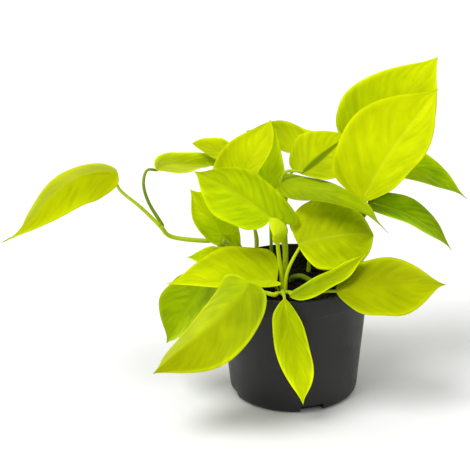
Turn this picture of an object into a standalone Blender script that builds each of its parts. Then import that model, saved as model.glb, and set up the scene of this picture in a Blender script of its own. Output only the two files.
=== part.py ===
"""Pothos plant in a round nursery pot, built in metres with +Z up.

The origin is at the middle of the pot's flat base. The camera side is -Y.
Every leaf is one solid: a waved, folded blade and its stalk.
"""
import math

import bmesh
import bpy
import numpy as np

# Units
MM = 0.001

# Pot, in millimetres
POT_HEIGHT = 90.0
POT_RIM_RADIUS = 55.0
POT_BAND_HEIGHT = 13.5
POT_BAND_STEP = 1.2
POT_FOOT_RADIUS = 45.8
POT_FLAT_RADIUS = 41.0
POT_WALL = 1.6
POT_SIDES = 40
NOTCH_COUNT = 4
NOTCH_TURN = -75.0
NOTCH_WIDTH = 17.0
NOTCH_HEIGHT = 5.5
NOTCH_DEPTH = 8.0
NOTCH_WALL = 1.5

# Potting soil, in millimetres
SOIL_TOP = 81.0
SEAT_GAP = 0.3
ROOT_DEPTH = 7.0
HOLE_SIDES = 8

# Blades and stalks, in millimetres
BLADE_THICKNESS = 0.9
BLADE_ROWS = 10
BLADE_COLUMNS = 3
STALK_RADIUS = 1.4
STALK_TIP_RADIUS = 1.0
STALK_SIDES = 6
STALK_RINGS = 7
STEM_RINGS = 12
STALK_REACH = 3.0
STALK_SINK = 1.1
WAVE_HEIGHT = 0.8
WAVE_BEATS = 2.0
WAVE_START = 0.3

# Colours and roughness: linear red, green and blue
LEAF_COLOUR = (0.54, 0.66, 0.02)
STEM_COLOUR = (0.30, 0.42, 0.03)
POT_COLOUR = (0.035, 0.037, 0.036)
SOIL_COLOUR = (0.012, 0.009, 0.006)
LEAF_ROUGHNESS = 0.35
STEM_ROUGHNESS = 0.5
POT_ROUGHNESS = 0.45
SOIL_ROUGHNESS = 0.95

# Stems: route from the root upwards and the radius at both ends
STEMS = {
    "stem_centre": {
        "route": [(-8, -9, 74), (-8, -9, 82), (-5.5, -4, 99), (-5.5, 0, 114), (-6, 6, 130.5), (-4, 12, 146)],
        "radius": (2.2, 1.7),
    },
    "stem_front": {
        "route": [(-8, -20, 74), (-8, -20, 83), (-8.5, -31, 87), (-8.5, -42, 91)],
        "radius": (2.0, 1.8),
    },
    "stem_left": {
        "route": [
            (-20, 6, 74), (-20, 6, 83), (-37, 13, 99), (-51, 12, 111),
            (-62, 8, 111.5), (-85.5, 4, 116.5), (-93.5, 1, 126),
        ],
        "radius": (2.0, 1.5),
    },
    "stem_right": {
        "route": [
            (-1, 4, 74), (-1, 4, 83.5), (6, -2, 87), (18, -12, 86), (33, -9, 93),
            (42, 1, 110), (46, 7, 127), (50, 8, 135),
        ],
        "radius": (1.9, 1.6),
    },
}


def edge(widest=0.36, lobe=0.08, slant=0.0, drip=0.05, power=1.2):
    """Shape of one half of a blade's margin, as shares of the blade's length.

    widest: where the half is widest; lobe: how far it reaches behind the stalk;
    slant: how far its shoulder moves towards the tip; drip: length of the thin
    tip; power: a high value gives a pointed blade and a low one a blunt blade.
    """
    return {"widest": widest, "lobe": lobe, "slant": slant, "drip": drip, "power": power}


# Leaves. base and tip are the ends of the midrib, and face is the way that the
# upper face looks. left and right are the halves, seen from above with the tip
# ahead: share is their part of the half width, lift the angle of each at the
# base and at the tip in degrees, and curl the bend of each in degrees.
# bow and sway push the midrib towards the face and the right at a third and at
# two thirds of its length. stalk is the route up to the base; joint is the stem
# that the stalk leaves and how far along it. Without a joint it roots in the soil.
LEAVES = {
    "leaf_far_left": {
        "base": (-124.5, -5, 169.5), "tip": (-204, -15, 121.5), "width": 42,
        "face": (0.08, -0.23, 0.97), "share": (0.93, 1.08), "bow": (28, 1), "sway": (8, -8),
        "left": (-72, -32), "right": (-24, -2), "curl": (-5, 10),
        "left_edge": edge(0.19, 0.07, 0.04, 0.05, 1.45), "right_edge": edge(0.2, 0.08, 0.16, 0.18, 0.6),
        "joint": ("stem_left", 1.0), "stalk": [(-107, 0, 141), (-120.5, -2, 154.5)],
    },
    "leaf_upper_left": {
        "base": (-94.5, 5, 166.5), "tip": (-45, 48, 153.5), "width": 40,
        "face": (0.21, -0.3, 0.84), "share": (0.55, 1.1), "bow": (-5, -7), "sway": (-17, -13),
        "left": (3, 32), "right": (18, 39),
        "left_edge": edge(0.6, 0.0, 0.3, 0.0, 0.55), "right_edge": edge(0.5, 0.0),
        "joint": ("stem_left", 0.97),
        "stalk": [(-100.8, 4, 142), (-104.2, 4, 156), (-101.5, 4, 166.4)],
    },
    "leaf_back_left": {
        "base": (-32.5, 58, 156.5), "tip": (-70.5, 50, 167.5), "width": 21,
        "face": (0, -0.5, 0.87),
        "left_edge": edge(0.5, 0.05, 0.0, 0.0, 0.9), "right_edge": edge(0.5, 0.05, 0.0, 0.0, 0.9),
        "stalk": [(-27, 30, 81), (-25.5, 33, 101.5), (-29.5, 50, 126.5)],
    },
    "leaf_top_left": {
        "base": (-43, 10, 146), "tip": (-14, 24, 196), "width": 47,
        "face": (0, -0.85, 0.5), "share": (0.9, 0.52), "left": (0, 0), "right": (30, 18),
        "left_edge": edge(0.33), "right_edge": edge(0.6, 0.07, 0.23, 0.02, 0.8),
        "stalk": [(-29, 19, 81), (-25, 17, 108), (-31.5, 12, 129)],
    },
    "leaf_top_mid": {
        "base": (7, 20, 156.5), "tip": (44, 40, 180.5), "width": 40,
        "face": (-0.2, -0.75, 0.6), "share": (1.27, 1.2), "left": (-5, 26), "right": (26, 0),
        "left_edge": edge(0.15, 0.1, 0.24, 0.06, 1.15), "right_edge": edge(0.15, 0.0, 0.24),
        "joint": ("stem_centre", 0.87), "stalk": [(-9, 16, 148), (-4, 19, 158.5)],
    },
    "leaf_top_back": {
        "base": (25.5, 52, 158.5), "tip": (-31.5, 52, 179), "width": 34,
        "face": (0.08, -0.52, 0.73), "share": (0.3, 1.3), "bow": (-7, 4), "sway": (-2, -5),
        "left": (18, 16), "right": (8, -2),
        "left_edge": edge(0.4, 0.0, 0.04, 0.06, 1.38), "right_edge": edge(0.56, 0.0, 0.0, 0.03, 0.91),
        "joint": ("stem_centre", 0.62), "stalk": [(-5, 34, 128), (0, 50, 145), (12, 54, 157)],
    },
    "leaf_mid_back": {
        "base": (-19.5, 30, 132), "tip": (-11, 40, 184.5), "width": 30,
        "face": (0, -0.9, 0.4), "share": (1.0, 0.99), "right": (15, 37),
        "left_edge": edge(), "right_edge": edge(0.15, 0.05, 0.0, 0.0, 1.13),
        "stalk": [(-15, 10, 81), (-15, 14, 109), (-15.5, 24, 120.5)],
    },
    "leaf_centre_left": {
        "base": (-15.5, -14, 136), "tip": (-68, -26, 175.5), "width": 50,
        "face": (-0.1, -0.8, 0.6), "share": (0.86, 0.79), "sway": (3, 3),
        "left": (-10, -10), "right": (15, -25),
        "left_edge": edge(0.5, 0.04, 0.2, 0.04, 0.9), "right_edge": edge(0.15, 0.2, 0.0, 0.0, 1.33),
        "thick": 1.8, "stalk": [(-6.5, -14, 81), (-7.5, -11, 100), (-11.5, -12, 119)],
    },
    "leaf_mid_left": {
        "base": (-50, -3, 120.5), "tip": (-71.5, -8, 156.5), "width": 36,
        "face": (-0.2, -0.7, 0.7), "share": (0.68, 1.0),
        "left_edge": edge(0.4, 0.12), "right_edge": edge(0.4, 0.12),
        "joint": ("stem_left", 0.5), "stalk": [(-51, 0, 112.5)],
    },
    "leaf_inner_left": {
        "base": (-50, 28, 124), "tip": (-37.5, 24, 88.5), "width": 26,
        "face": (0, -0.9, 0.4), "share": (0.6, 1.0),
        "left_edge": edge(), "right_edge": edge(),
        "joint": ("stem_left", 0.25), "stalk": [(-37.5, 26, 100.5), (-45.5, 30, 117)],
    },
    "leaf_small_left": {
        "base": (-44, 3, 100), "tip": (-75.5, -3, 103.5), "width": 17,
        "face": (0, -0.7, 0.7),
        "left_edge": edge(), "right_edge": edge(),
        "joint": ("stem_left", 0.28), "stalk": [],
    },
    "leaf_over_rim_left": {
        "base": (-12, -22, 92), "tip": (-89.5, -32, 95.5), "width": 60,
        "face": (0, 0, 1), "share": (0.4, 1.0), "left": (20, 20), "right": (38, 38),
        "left_edge": edge(0.33, 0.03), "right_edge": edge(0.33, 0.03),
        "stalk": [(-11, -16, 81)],
    },
    "leaf_hanging_left": {
        "base": (-62, -4, 88), "tip": (-91, -18, 44), "width": 48,
        "face": (-0.4, -0.85, 0.3), "share": (1.08, 0.95), "left": (36, 56), "right": (0, 0),
        "left_edge": edge(0.5, 0.04, 0.05, 0.03, 0.69), "right_edge": edge(0.5, 0.0, 0.2),
        "joint": ("stem_left", 0.17), "stalk": [(-40, 2, 92), (-54, -2, 93)],
    },
    "leaf_front_left": {
        "base": (-36, -63.5, 103.5), "tip": (-97.6, -88.3, 53.5), "width": 60,
        "face": (-0.29, -0.6, 0.68), "share": (1.07, 1.1), "bow": (-2, -8), "sway": (-8, 6),
        "left": (13, -35), "right": (-14, -45), "curl": (16, -20),
        "left_edge": edge(0.25, 0.11, 0.17, 0.02, 0.92), "right_edge": edge(0.15, 0.09, 0.0, 0.07, 0.6),
        "joint": ("stem_front", 0.92), "stalk": [(-17.5, -56, 94.5)],
    },
    "leaf_front_hanging": {
        "base": (-8, -60, 94.5), "tip": (4.5, -64, 16), "width": 34,
        "face": (0, -0.95, 0.3), "share": (0.84, 0.9), "left": (35, 35), "right": (35, 35),
        "left_edge": edge(0.6, 0.0, 0.32, 0.03), "right_edge": edge(0.36, 0.0, 0.13, 0.03),
        "joint": ("stem_front", 1.0), "stalk": [(-8, -54, 94)],
    },
    "leaf_front_folded": {
        "base": (-4, -53, 93), "tip": (49.5, -42, 120.5), "width": 28,
        "face": (0, 0, 1), "share": (1.0, 0.72), "bow": (-4, -4), "left": (-5, -5), "right": (-15, -15),
        "left_edge": edge(0.55, 0.0, 0.12), "right_edge": edge(0.55, 0.0, 0.12),
        "joint": ("stem_front", 0.85), "stalk": [(-3.5, -44, 91.5)],
    },
    "leaf_front_right": {
        "base": (27, -54, 97), "tip": (105, -38, 93.5), "width": 49,
        "face": (0, -0.7, 0.71), "share": (1.0, 0.88), "bow": (9, 9), "left": (-15, -15),
        "right": (-15, -15),
        "left_edge": edge(0.5, 0.0, 0.25), "right_edge": edge(0.5, 0.0, 0.25),
        "joint": ("stem_front", 0.59), "stalk": [(8, -40, 89), (20, -47, 94)],
    },
    "leaf_centre_right": {
        "base": (3, -14, 116.5), "tip": (56, -14, 122), "width": 58,
        "face": (0.1, -0.72, 0.69), "share": (1.02, 0.88), "bow": (6, 12), "curl": (-20, -20),
        "left": (10, -8), "right": (-5, -5),
        "left_edge": edge(0.18, 0.07, 0.04, 0.0, 0.55), "right_edge": edge(0.55, 0.0, 0.25, 0.0, 0.65),
        "stalk": [(-1.5, -17.5, 81), (-2, -15, 103.5)],
    },
    "leaf_mid_narrow": {
        "base": (0.5, 18, 149), "tip": (64.5, -32, 130.5), "width": 36,
        "face": (0, -0.1, 1), "share": (0.8, 0.75), "bow": (7, 7), "left": (10, -33), "right": (-23, 49),
        "left_edge": edge(0.6, 0.06, 0.0, 0.1, 1.39), "right_edge": edge(0.16, 0.03, 0.14, 0.21, 2.18),
        "joint": ("stem_centre", 1.0), "stalk": [],
    },
    "leaf_large_right": {
        "base": (49, 2, 141), "tip": (104.5, 36, 213), "width": 76,
        "face": (0.1, -0.85, 0.5), "share": (0.97, 0.82), "sway": (-5, -3),
        "left": (5, 5), "right": (55, 42),
        "left_edge": edge(0.42, 0.0, 0.12, 0.03), "right_edge": edge(0.46, 0.0, 0.24, 0.03),
        "joint": ("stem_right", 1.0), "stalk": [],
    },
    "leaf_tall_back": {
        "base": (49, 44, 164), "tip": (106, 54, 231), "width": 70,
        "face": (0, -0.85, 0.5), "share": (1.0, 1.05),
        "left_edge": edge(0.26, 0.04, 0.12, 0.02), "right_edge": edge(0.3, 0.06, 0.0, 0.02),
        "joint": ("stem_right", 0.96), "stalk": [(47.5, 22, 143), (48, 40, 155.5)],
    },
    "leaf_right_back": {
        "base": (64.5, 25, 164.5), "tip": (124.5, 14, 137.5), "width": 28,
        "face": (0, -0.5, 0.85), "bow": (10, 10),
        "left_edge": edge(0.35, 0.05, 0.0, 0.08), "right_edge": edge(0.25, 0.05, 0.0, 0.08),
        "joint": ("stem_right", 0.81), "stalk": [(54.5, 22, 142), (61.5, 24, 159)],
    },
    "leaf_right_low": {
        "base": (54, 16, 135), "tip": (113.5, 6, 102), "width": 30,
        "face": (0, -0.35, 0.94), "share": (1.0, 0.72), "bow": (12, 12),
        "left_edge": edge(0.42, 0.02), "right_edge": edge(0.42, 0.02),
        "joint": ("stem_right", 0.9), "stalk": [],
    },
    "leaf_rear_right": {
        "base": (18, 46, 116), "tip": (26, 86, 66), "width": 44,
        "face": (0.1, 0.75, 0.65), "bow": (10, 6), "left": (-8, -8), "right": (-8, -8),
        "left_edge": edge(), "right_edge": edge(),
        "stalk": [(12, 22, 81), (14, 30, 104), (16, 40, 115)],
    },
    "leaf_rear_left": {
        "base": (-13, 37, 116), "tip": (-20, 88, 94), "width": 32,
        "face": (-0.1, 0.2, 1), "share": (0.75, 1.0), "bow": (8, 8), "left": (12, 12), "right": (12, 12),
        "left_edge": edge(), "right_edge": edge(),
        "joint": ("stem_centre", 0.5), "stalk": [(-10, 20, 122)],
    },
}


def clear_scene():
    """Remove every object of the scene."""
    for item in list(bpy.data.objects):
        bpy.data.objects.remove(item, do_unlink=True)


def unit(vector):
    """The vector at length one."""
    vector = np.asarray(vector, float)
    return vector / np.linalg.norm(vector)


def material(name, colour, roughness):
    """A plain surface of one colour."""
    made = bpy.data.materials.new(name)
    made.use_nodes = True
    shader = made.node_tree.nodes["Principled BSDF"]
    shader.inputs["Base Color"].default_value = (*colour, 1.0)
    shader.inputs["Roughness"].default_value = roughness
    shader.inputs["Metallic"].default_value = 0.0
    return made


def new_object(name, points, faces, origin, surface):
    """A mesh object whose own origin is at the given point, all in millimetres."""
    mesh = bpy.data.meshes.new(name)
    local = (np.asarray(points, float) - np.asarray(origin, float)) * MM
    mesh.from_pydata(local.tolist(), [], [list(map(int, face)) for face in faces])
    work = bmesh.new()
    work.from_mesh(mesh)
    bmesh.ops.recalc_face_normals(work, faces=work.faces)
    work.to_mesh(mesh)
    work.free()
    mesh.materials.append(surface)
    made = bpy.data.objects.new(name, mesh)
    made.location = [value * MM for value in origin]
    bpy.context.scene.collection.objects.link(made)
    return made


def smooth(item, angle=40.0):
    """Shade round pieces smooth and keep their corners sharp."""
    item.data.shade_smooth()
    item.data.set_sharp_from_angle(angle=math.radians(angle))


def apply_modifiers(item):
    """Keep the shape that the modifiers give and drop the modifiers."""
    bpy.context.view_layer.update()
    seen = item.evaluated_get(bpy.context.evaluated_depsgraph_get())
    mesh = bpy.data.meshes.new_from_object(seen)
    item.modifiers.clear()
    item.data = mesh


def combine(item, tools, operation):
    """Join the tools to the item, or cut them out of it, in one step."""
    group = bpy.data.collections.new(item.name + "_tools")
    bpy.context.scene.collection.children.link(group)
    for tool in tools:
        for owner in list(tool.users_collection):
            owner.objects.unlink(tool)
        group.objects.link(tool)
    step = item.modifiers.new("combine", "BOOLEAN")
    step.operation = operation
    step.operand_type = "COLLECTION"
    step.collection = group
    step.solver = "EXACT"
    apply_modifiers(item)
    for tool in tools:
        bpy.data.objects.remove(tool, do_unlink=True)
    bpy.data.collections.remove(group)


def curve_through(points, count):
    """Evenly spaced points along a smooth curve through the given points."""
    given = np.array(points, float)
    given = np.vstack([2 * given[0] - given[1], given, 2 * given[-1] - given[-2]])
    steps = np.linspace(0.0, 1.0, 24, endpoint=False)
    traced = []
    for i in range(1, len(given) - 2):
        before, here, there, after = given[i - 1:i + 3]
        for t in steps:
            bend = (2 * before - 5 * here + 4 * there - after) * t * t
            turn = (3 * here - before - 3 * there + after) * t ** 3
            traced.append(0.5 * (2 * here + (there - before) * t + bend + turn))
    traced.append(given[-2])
    traced = np.array(traced)
    lengths = np.linalg.norm(np.diff(traced, axis=0), axis=1)
    run = np.concatenate([[0.0], np.cumsum(lengths)])
    wanted = np.linspace(0.0, run[-1], count)
    columns = [np.interp(wanted, run, traced[:, axis]) for axis in range(traced.shape[1])]
    return np.stack(columns, axis=1)


def tube(route, start_radius, end_radius, rings):
    """Points and faces of a round bar, closed at both ends: straight first, then a smooth route."""
    middle = np.vstack([route[0], curve_through(route[1:], rings - 1)])
    ahead = np.gradient(middle, axis=0)
    out = np.array([0.3, -0.9, 0.3])
    angles = 2 * np.pi * np.arange(STALK_SIDES) / STALK_SIDES
    points = []
    for i in range(rings):
        way = unit(ahead[i])
        out = unit(out - np.dot(out, way) * way)
        across = np.cross(way, out)
        radius = start_radius + (end_radius - start_radius) * i / (rings - 1)
        for angle in angles:
            points.append(middle[i] + radius * (np.cos(angle) * out + np.sin(angle) * across))
    faces = [list(range(STALK_SIDES))[::-1]]
    for i in range(rings - 1):
        for side in range(STALK_SIDES):
            a = i * STALK_SIDES + side
            b = i * STALK_SIDES + (side + 1) % STALK_SIDES
            faces.append([a, b, b + STALK_SIDES])
            faces.append([a, b + STALK_SIDES, a + STALK_SIDES])
    faces.append([(rings - 1) * STALK_SIDES + side for side in range(STALK_SIDES)])
    return points, faces


def turned(profile, sides):
    """Points and faces of a solid turned about Z; the profile starts and ends on the axis."""
    points = [(0.0, 0.0, profile[0][1])]
    rings = profile[1:-1]
    for radius, height in rings:
        for side in range(sides):
            angle = 2 * math.pi * side / sides
            points.append((radius * math.cos(angle), radius * math.sin(angle), height))
    points.append((0.0, 0.0, profile[-1][1]))
    last = len(points) - 1
    faces = []
    for side in range(sides):
        after = (side + 1) % sides
        faces.append([0, 1 + after, 1 + side])
        for ring in range(len(rings) - 1):
            low = 1 + ring * sides
            high = low + sides
            faces.append([low + side, low + after, high + after])
            faces.append([low + side, high + after, high + side])
        top = 1 + (len(rings) - 1) * sides
        faces.append([last, top + side, top + after])
    return points, faces


def notch_box(name, turn, near, far, width, low, high, surface):
    """A box across the pot's wall at one notch, from the near to the far radius."""
    cosine = math.cos(math.radians(turn))
    sine = math.sin(math.radians(turn))
    points = []
    for height in (low, high):
        for out, along in ((near, -1), (far, -1), (far, 1), (near, 1)):
            side = along * width / 2
            points.append((out * cosine - side * sine, out * sine + side * cosine, height))
    faces = [[3, 2, 1, 0], [4, 5, 6, 7], [0, 1, 5, 4], [1, 2, 6, 5], [2, 3, 7, 6], [3, 0, 4, 7]]
    return new_object(name, points, faces, (0, 0, 0), surface)


def margin_points(shape):
    """Points (along, half width) of one half of a margin, for a blade of length and width one."""
    widest = shape["widest"]
    lobe = shape["lobe"]
    shoulder = [
        (0.0, 0.0), (-0.45 * lobe, 0.07), (-0.9 * lobe, 0.16), (-lobe, 0.25),
        (-0.7 * lobe, 0.34), (0.03 * widest, 0.415), (0.35 * widest, 0.465),
    ]
    points = [(along + shape["slant"] * (2 * half) ** 1.5, half) for along, half in shoulder]
    end = 1.0 - shape["drip"]
    for share in (0.0, 0.22, 0.42, 0.6, 0.76, 0.9):
        half = 0.5 * (1 - share * share) ** shape["power"]
        points.append((widest + share * (end - widest), half))
    points.append((end, 0.012))
    points.append((1.0, 0.0))
    return points


def midrib(leaf):
    """A function that gives the point and the direction of the midrib at a share of its length."""
    base = np.array(leaf["base"], float)
    tip = np.array(leaf["tip"], float)
    span = tip - base
    ahead = unit(span)
    face = unit(np.array(leaf["face"], float) - np.dot(leaf["face"], ahead) * ahead)
    side = np.cross(ahead, face)
    bow = leaf.get("bow", (0, 0))
    sway = leaf.get("sway", (0, 0))
    first = base + span * 0.33 + face * bow[0] + side * sway[0]
    second = tip - span * 0.33 + face * bow[1] + side * sway[1]

    def at(share):
        held = min(max(share, 0.0), 1.0)
        rest = 1.0 - held
        point = rest ** 3 * base + 3 * held * rest ** 2 * first
        point = point + 3 * held ** 2 * rest * second + held ** 3 * tip
        slope = 3 * rest ** 2 * (first - base) + 6 * held * rest * (second - first)
        slope = slope + 3 * held ** 2 * (tip - second)
        return point + slope * (share - held), unit(slope)

    return at, face


def blade_grid(leaf, rows, columns):
    """Points of the blade's upper face, row by row from base to tip and from left to right."""
    at, face = midrib(leaf)
    half = leaf["width"] / 2
    curl = leaf.get("curl", (0, 0))
    shares = leaf.get("share", (1.0, 1.0))
    lifts = (leaf.get("left", (10, 10)), leaf.get("right", (10, 10)))
    edges = (
        curve_through(margin_points(leaf["left_edge"]), rows + 1),
        curve_through(margin_points(leaf["right_edge"]), rows + 1),
    )
    grid = np.zeros((rows + 1, 2 * columns + 1, 3))
    for row in range(rows + 1):
        mid_along = (row / rows) ** 1.55
        for column in range(-columns, columns + 1):
            hand = 0 if column < 0 else 1
            sign = -1 if column < 0 else 1
            edge_along, edge_half = edges[hand][row]
            out = abs(column) / columns
            along = mid_along + (edge_along - mid_along) * out ** 1.25
            held = min(max(along, 0.0), 1.0)
            point, ahead = at(along)
            up = unit(face - np.dot(face, ahead) * ahead)
            across = np.cross(ahead, up)
            reach = half * shares[hand]
            breadth = edge_half * 2 * reach * out
            lift = math.radians(lifts[hand][0] + (lifts[hand][1] - lifts[hand][0]) * held)
            bend = math.radians(curl[hand]) if curl[hand] else 0.01
            turned_by = lift + bend * breadth / reach
            sideways = reach / bend * (math.sin(turned_by) - math.sin(lift))
            upwards = reach / bend * (math.cos(lift) - math.cos(turned_by))
            beat = WAVE_BEATS * along + WAVE_START + (0.25 if column < 0 else 0.0)
            upwards += WAVE_HEIGHT * math.sin(2 * math.pi * beat) * (breadth / reach) ** 2
            grid[row, column + columns] = point + across * sign * sideways + up * upwards
    return grid


def blade_mesh(leaf):
    """Points and triangles of the blade's upper face."""
    rows = BLADE_ROWS
    columns = BLADE_COLUMNS
    grid = blade_grid(leaf, rows, columns)
    wide = 2 * columns + 1
    points = [grid[0, columns]]
    for row in range(1, rows):
        points.extend(grid[row])
    points.append(grid[rows, columns])
    last = len(points) - 1

    def number(row, column):
        if row == 0:
            return 0
        if row == rows:
            return last
        return 1 + (row - 1) * wide + column

    faces = []
    for row in range(rows):
        for column in range(wide - 1):
            a = number(row, column)
            b = number(row, column + 1)
            c = number(row + 1, column + 1)
            d = number(row + 1, column)
            pair = [(a, b, c), (a, c, d)] if column < columns else [(a, b, d), (b, c, d)]
            faces.extend(face for face in pair if len(set(face)) == 3)
    return points, faces


def stem_place(name, share):
    """Point, direction and radius of a stem at a share of its length."""
    stem = STEMS[name]
    line = curve_through(stem["route"], 101)
    index = int(round(share * 100))
    way = unit(line[min(index + 1, 100)] - line[max(index - 1, 0)])
    radius = stem["radius"][0] + (stem["radius"][1] - stem["radius"][0]) * share
    return line[index], way, radius


def stalk_route(leaf):
    """Points that a stalk's middle line passes, from its root or its stem to under the blade."""
    at, face = midrib(leaf)
    base, ahead = at(0.0)
    up = unit(face - np.dot(face, ahead) * ahead)
    end = base + ahead * STALK_REACH - up * STALK_SINK
    passed = [np.array(point, float) for point in leaf["stalk"]]
    if "joint" not in leaf:
        x, y, height = passed[0]
        root = np.array([x, y, height - ROOT_DEPTH])
        return [root] + passed + [end]
    name, share = leaf["joint"]
    place, way, radius = stem_place(name, share)
    if share >= 1.0:
        return [place + way * SEAT_GAP, place + way * (SEAT_GAP + 2.5)] + passed + [end]
    goal = passed[0] if passed else end
    out = goal - place
    out = unit(out - np.dot(out, way) * way)
    return [place + out * (radius + SEAT_GAP), place + out * (radius + 2.5)] + passed + [end]


def build_pot(surface):
    """The pot: a tapered wall with a rim band, rounded foot and four notches at the foot."""
    band_low = POT_HEIGHT - POT_BAND_HEIGHT
    neck = POT_RIM_RADIUS - POT_BAND_STEP - 0.6
    rim = POT_RIM_RADIUS
    foot = POT_FOOT_RADIUS
    wall = POT_WALL
    profile = [
        (0, 0), (POT_FLAT_RADIUS, 0), (POT_FLAT_RADIUS + 2.6, 0.7), (foot - 0.7, 2.6), (foot, 5.0),
        (neck, band_low), (rim - 0.6, band_low + 0.5), (rim, band_low + 1.4),
        (rim, POT_HEIGHT - 0.8), (rim - 0.6, POT_HEIGHT), (rim - 1.5, POT_HEIGHT),
        (rim - 2.1, POT_HEIGHT - 0.8), (neck - wall + 0.9, band_low + 0.5), (neck - wall, band_low - 0.8),
        (foot - wall, 6.0), (foot - wall - 1.4, 3.2), (POT_FLAT_RADIUS, 2.0), (0, 2.0),
    ]
    points, faces = turned(profile, POT_SIDES)
    pot = new_object("pot", points, faces, (0, 0, 0), surface)
    turns = [NOTCH_TURN + 360.0 / NOTCH_COUNT * i for i in range(NOTCH_COUNT)]
    blocks = []
    cutters = []
    for i, turn in enumerate(turns):
        inner = foot - NOTCH_DEPTH
        blocks.append(notch_box(
            "block_%d" % i, turn, inner - NOTCH_WALL, foot - 2.4, NOTCH_WIDTH + 2 * NOTCH_WALL,
            1.0, NOTCH_HEIGHT + NOTCH_WALL, surface))
        cutters.append(notch_box(
            "notch_%d" % i, turn, inner, foot + 8.0, NOTCH_WIDTH, -5.0, NOTCH_HEIGHT, surface))
    combine(pot, blocks, "UNION")
    combine(pot, cutters, "DIFFERENCE")
    smooth(pot)
    return pot


def build_soil(surface):
    """The soil fills the pot and has a plain hole for every stem and stalk that roots in it."""
    band_low = POT_HEIGHT - POT_BAND_HEIGHT
    neck = POT_RIM_RADIUS - POT_BAND_STEP - 0.6
    inner_neck = neck - POT_WALL - SEAT_GAP
    inner_foot = POT_FOOT_RADIUS - POT_WALL - SEAT_GAP
    profile = [
        (0, 2.0 + SEAT_GAP), (POT_FLAT_RADIUS - 0.2, 2.0 + SEAT_GAP), (inner_foot - 1.5, 3.6),
        (inner_foot, 6.3), (inner_neck, band_low - 0.8), (inner_neck + 0.8, band_low + 0.5),
        (inner_neck + 0.9, SOIL_TOP), (0, SOIL_TOP),
    ]
    points, faces = turned(profile, POT_SIDES)
    soil = new_object("soil", points, faces, (0, 0, 0), surface)
    cutters = []
    for i in range(NOTCH_COUNT):
        turn = NOTCH_TURN + 360.0 / NOTCH_COUNT * i
        cutters.append(notch_box(
            "pocket_%d" % i, turn, POT_FOOT_RADIUS - NOTCH_DEPTH - NOTCH_WALL - SEAT_GAP,
            POT_FOOT_RADIUS + 8.0, NOTCH_WIDTH + 2 * (NOTCH_WALL + SEAT_GAP),
            -5.0, NOTCH_HEIGHT + NOTCH_WALL + SEAT_GAP, surface))
    roots = [(stem["route"][0], stem["radius"][0]) for stem in STEMS.values()]
    for leaf in LEAVES.values():
        if "joint" not in leaf:
            roots.append((leaf["stalk"][0], leaf.get("thick", STALK_RADIUS)))
    for i, (place, radius) in enumerate(roots):
        low = SOIL_TOP - ROOT_DEPTH - SEAT_GAP
        wide = (radius + SEAT_GAP) / math.cos(math.pi / HOLE_SIDES)
        hole = [(0, low), (wide, low), (wide, SOIL_TOP + 5.0), (0, SOIL_TOP + 5.0)]
        points, faces = turned(hole, HOLE_SIDES)
        points = [(x + place[0], y + place[1], z) for x, y, z in points]
        cutters.append(new_object("hole_%d" % i, points, faces, (0, 0, 0), surface))
    combine(soil, cutters, "DIFFERENCE")
    return soil


def build_stem(name, stem, surface, parent):
    """A stem: one bar that tapers from the root to its end."""
    points, faces = tube(stem["route"], stem["radius"][0], stem["radius"][1], STEM_RINGS)
    made = new_object(name, points, faces, stem["route"][0], surface)
    made.parent = parent
    smooth(made, 60.0)
    return made


def build_leaf(name, leaf, surface, parent):
    """A leaf: the blade with its thickness, fused with the stalk that carries it."""
    route = stalk_route(leaf)
    points, faces = blade_mesh(leaf)
    blade = new_object(name, points, faces, route[0], surface)
    flip_if_down(blade, leaf)
    shell = blade.modifiers.new("thickness", "SOLIDIFY")
    shell.thickness = BLADE_THICKNESS * MM
    shell.offset = -1.0
    apply_modifiers(blade)
    start = leaf.get("thick", STALK_RADIUS)
    points, faces = tube(route, start, STALK_TIP_RADIUS, STALK_RINGS)
    stalk = new_object(name + "_stalk", points, faces, route[0], surface)
    combine(blade, [stalk], "UNION")
    blade.parent = parent
    smooth(blade, 60.0)
    return blade


def flip_if_down(blade, leaf):
    """Turn the blade's triangles so that they look the way of its upper face."""
    face = midrib(leaf)[1]
    total = np.zeros(3)
    for polygon in blade.data.polygons:
        total += np.array(polygon.normal) * polygon.area
    if np.dot(total, face) < 0:
        blade.data.flip_normals()


def build():
    """Make the pot, the soil, the stems and the leaves."""
    clear_scene()
    plastic = material("pot_plastic", POT_COLOUR, POT_ROUGHNESS)
    earth = material("potting_soil", SOIL_COLOUR, SOIL_ROUGHNESS)
    bark = material("green_stem", STEM_COLOUR, STEM_ROUGHNESS)
    green = material("lime_leaf", LEAF_COLOUR, LEAF_ROUGHNESS)
    build_pot(plastic)
    build_soil(earth)
    plant = bpy.data.objects.new("plant", None)
    bpy.context.scene.collection.objects.link(plant)
    for name, stem in STEMS.items():
        build_stem(name, stem, bark, plant)
    for name, leaf in LEAVES.items():
        build_leaf(name, leaf, green, plant)


build()
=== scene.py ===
"""Looks of a pothos plant in a round nursery pot: fine leaves, stems, pot and soil.

Shapes are worked out in millimetres and made in metres, +Z up, with the origin at
the middle of the pot's underside. The camera side is -Y.
"""
import math
import random

import bmesh
import bpy
import numpy as np
from mathutils import Matrix, Vector, noise


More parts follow.
